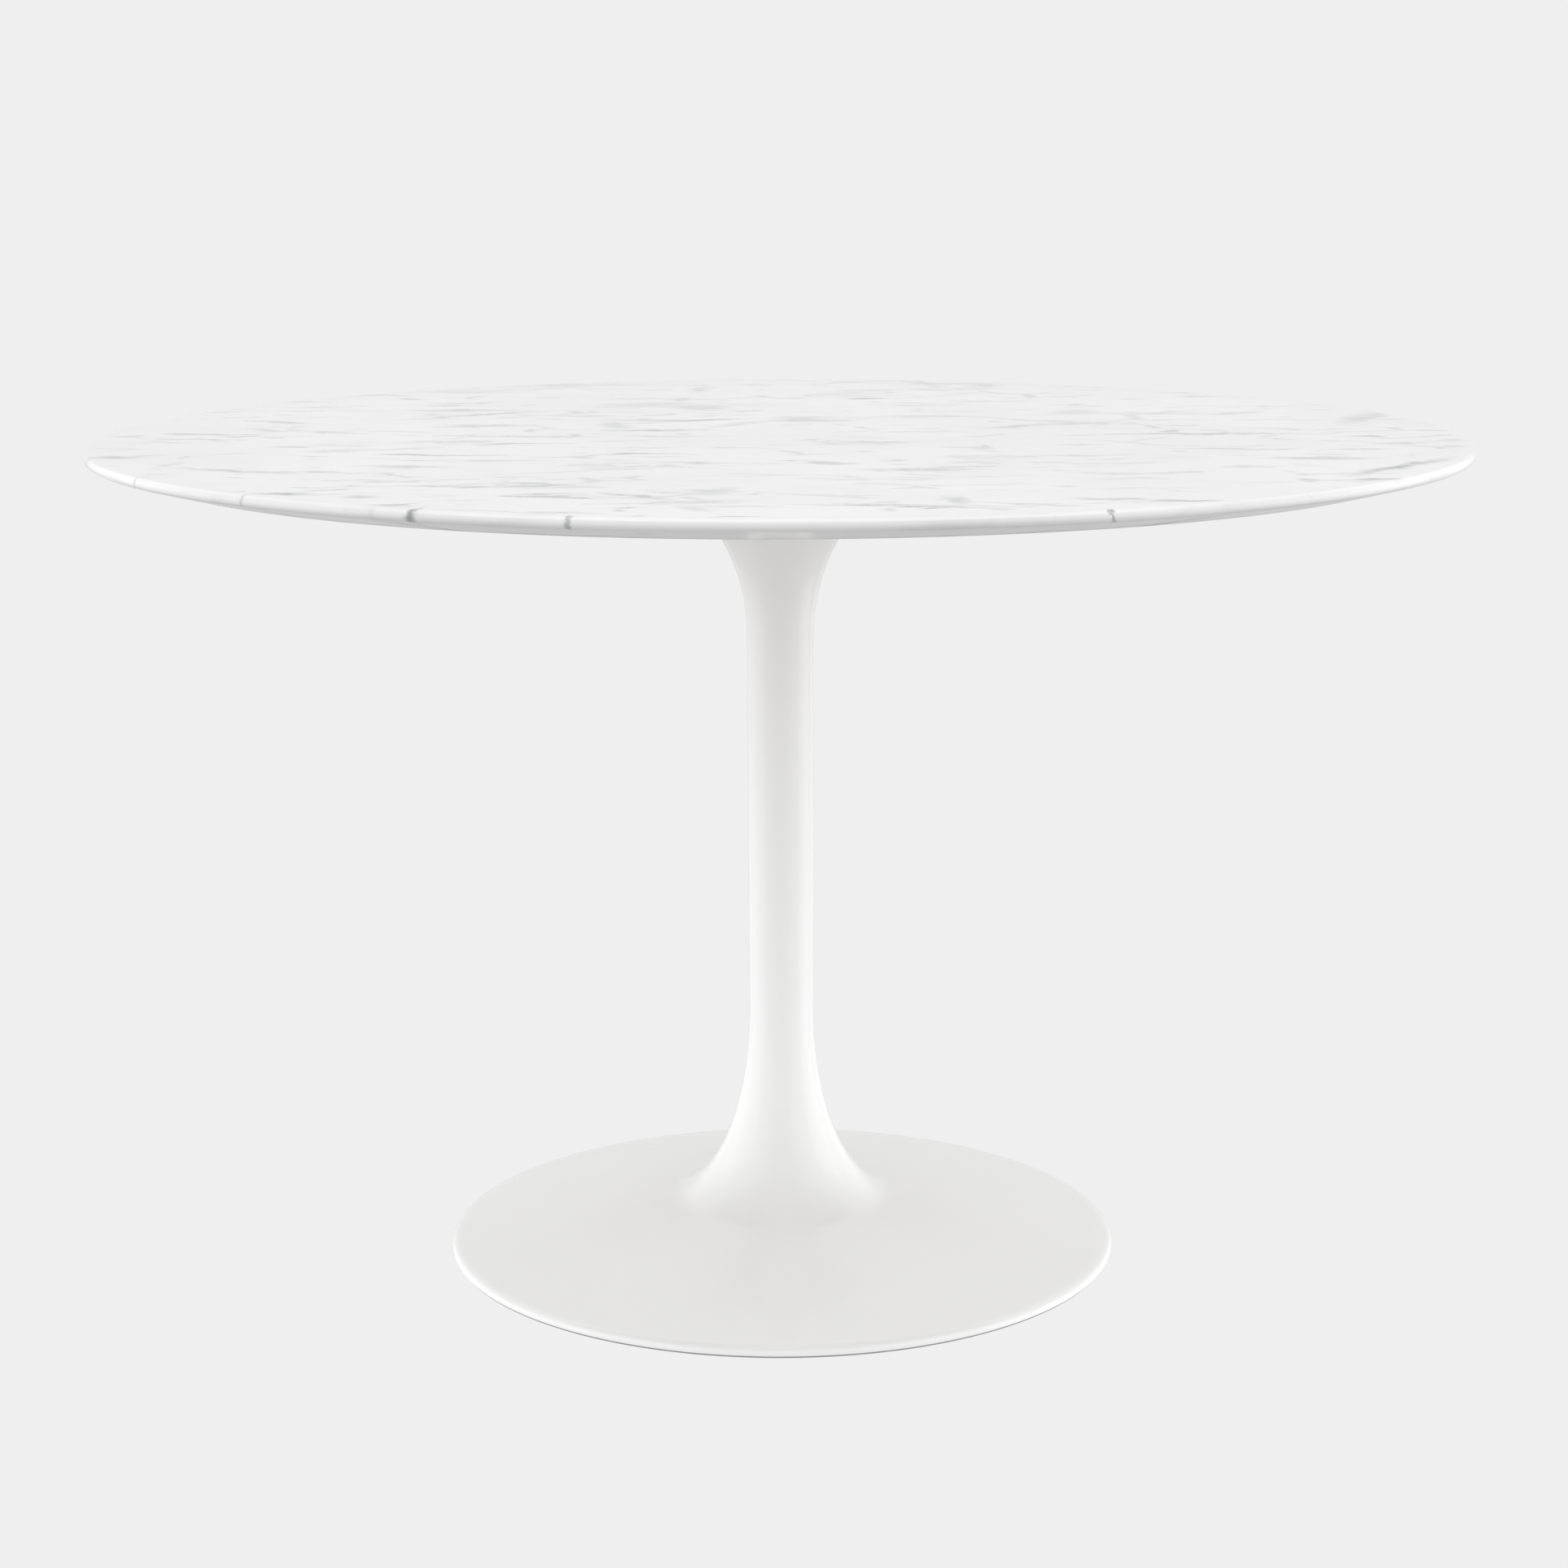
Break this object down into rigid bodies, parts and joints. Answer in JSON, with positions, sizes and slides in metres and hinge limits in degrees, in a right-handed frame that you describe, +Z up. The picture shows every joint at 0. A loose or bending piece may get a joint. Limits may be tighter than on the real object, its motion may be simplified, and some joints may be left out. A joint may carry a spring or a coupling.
{
  "type": "round pedestal table",
  "caption": "Round dining table: a polished stone top with a bevelled edge, screwed to a spider and clamped by a tie rod onto a slim white cast trumpet pedestal with levelling feet.",
  "frame": {"origin": "on the floor, under the centre of the pedestal", "axes": "+Z up along the stem's axis, +X towards one arm of the spider, +Y towards the next arm"},
  "size_m": [1.1998, 1.2, 0.74],
  "materials": {
    "marble": "polished white marble with soft grey veins",
    "plywood": "birch plywood, sanded and sealed",
    "brass": "machined",
    "black_steel": "satin black powder coat",
    "turned_steel": "turned, lightly oiled",
    "zinc_steel": "zinc plated",
    "white_enamel": "gloss white coating on a casting",
    "cast_iron": "as cast, black primed",
    "grey_rubber": "matte grey",
    "black_nylon": "moulded nylon"
  },
  "bodies": {
    "table": {"marble_top": "marble", "backing_board": "plywood", "threaded_inserts": "brass", "spider": "black_steel", "spider_hub": "turned_steel", "spider_screws": "zinc_steel", "spider_washers": "zinc_steel", "pedestal": "white_enamel", "tie_rod": "zinc_steel", "ballast_disc": "cast_iron", "rod_washer": "zinc_steel", "rod_nut": "zinc_steel", "floor_ring": "grey_rubber"},
    "foot_1": {"foot_pad_1": "black_nylon"},
    "foot_2": {"foot_pad_2": "black_nylon"},
    "foot_3": {"foot_pad_3": "black_nylon"},
    "foot_4": {"foot_pad_4": "black_nylon"},
    "stud_1": {"foot_stud_1": "zinc_steel"},
    "stud_2": {"foot_stud_2": "zinc_steel"},
    "stud_3": {"foot_stud_3": "zinc_steel"},
    "stud_4": {"foot_stud_4": "zinc_steel"}
  },
  "joints": [
    {"name": "foot_1_height", "type": "slide", "parent": "table", "child": "foot_1", "axis": [0, 0, -1], "range_m": [0, 0.007]},
    {"name": "foot_1_turn", "type": "hinge", "parent": "foot_1", "child": "stud_1", "pos_m": [0.13435, 0.13435, 0.005], "axis": [0, 0, -1], "range_deg": [0, 2016.1]},
    {"name": "foot_2_height", "type": "slide", "parent": "table", "child": "foot_2", "axis": [0, 0, -1], "range_m": [0, 0.007]},
    {"name": "foot_2_turn", "type": "hinge", "parent": "foot_2", "child": "stud_2", "pos_m": [-0.13435, 0.13435, 0.005], "axis": [0, 0, -1], "range_deg": [0, 2016.1]},
    {"name": "foot_3_height", "type": "slide", "parent": "table", "child": "foot_3", "axis": [0, 0, -1], "range_m": [0, 0.007]},
    {"name": "foot_3_turn", "type": "hinge", "parent": "foot_3", "child": "stud_3", "pos_m": [-0.13435, -0.13435, 0.005], "axis": [0, 0, -1], "range_deg": [0, 2016.1]},
    {"name": "foot_4_height", "type": "slide", "parent": "table", "child": "foot_4", "axis": [0, 0, -1], "range_m": [0, 0.007]},
    {"name": "foot_4_turn", "type": "hinge", "parent": "foot_4", "child": "stud_4", "pos_m": [0.13435, -0.13435, 0.005], "axis": [0, 0, -1], "range_deg": [0, 2016.1]}
  ],
  "couplings": [
    {"joint": "foot_1_turn", "follows": "foot_1_height", "rad_per_m": 5026.5},
    {"joint": "foot_2_turn", "follows": "foot_2_height", "rad_per_m": 5026.5},
    {"joint": "foot_3_turn", "follows": "foot_3_height", "rad_per_m": 5026.5},
    {"joint": "foot_4_turn", "follows": "foot_4_height", "rad_per_m": 5026.5}
  ]
}
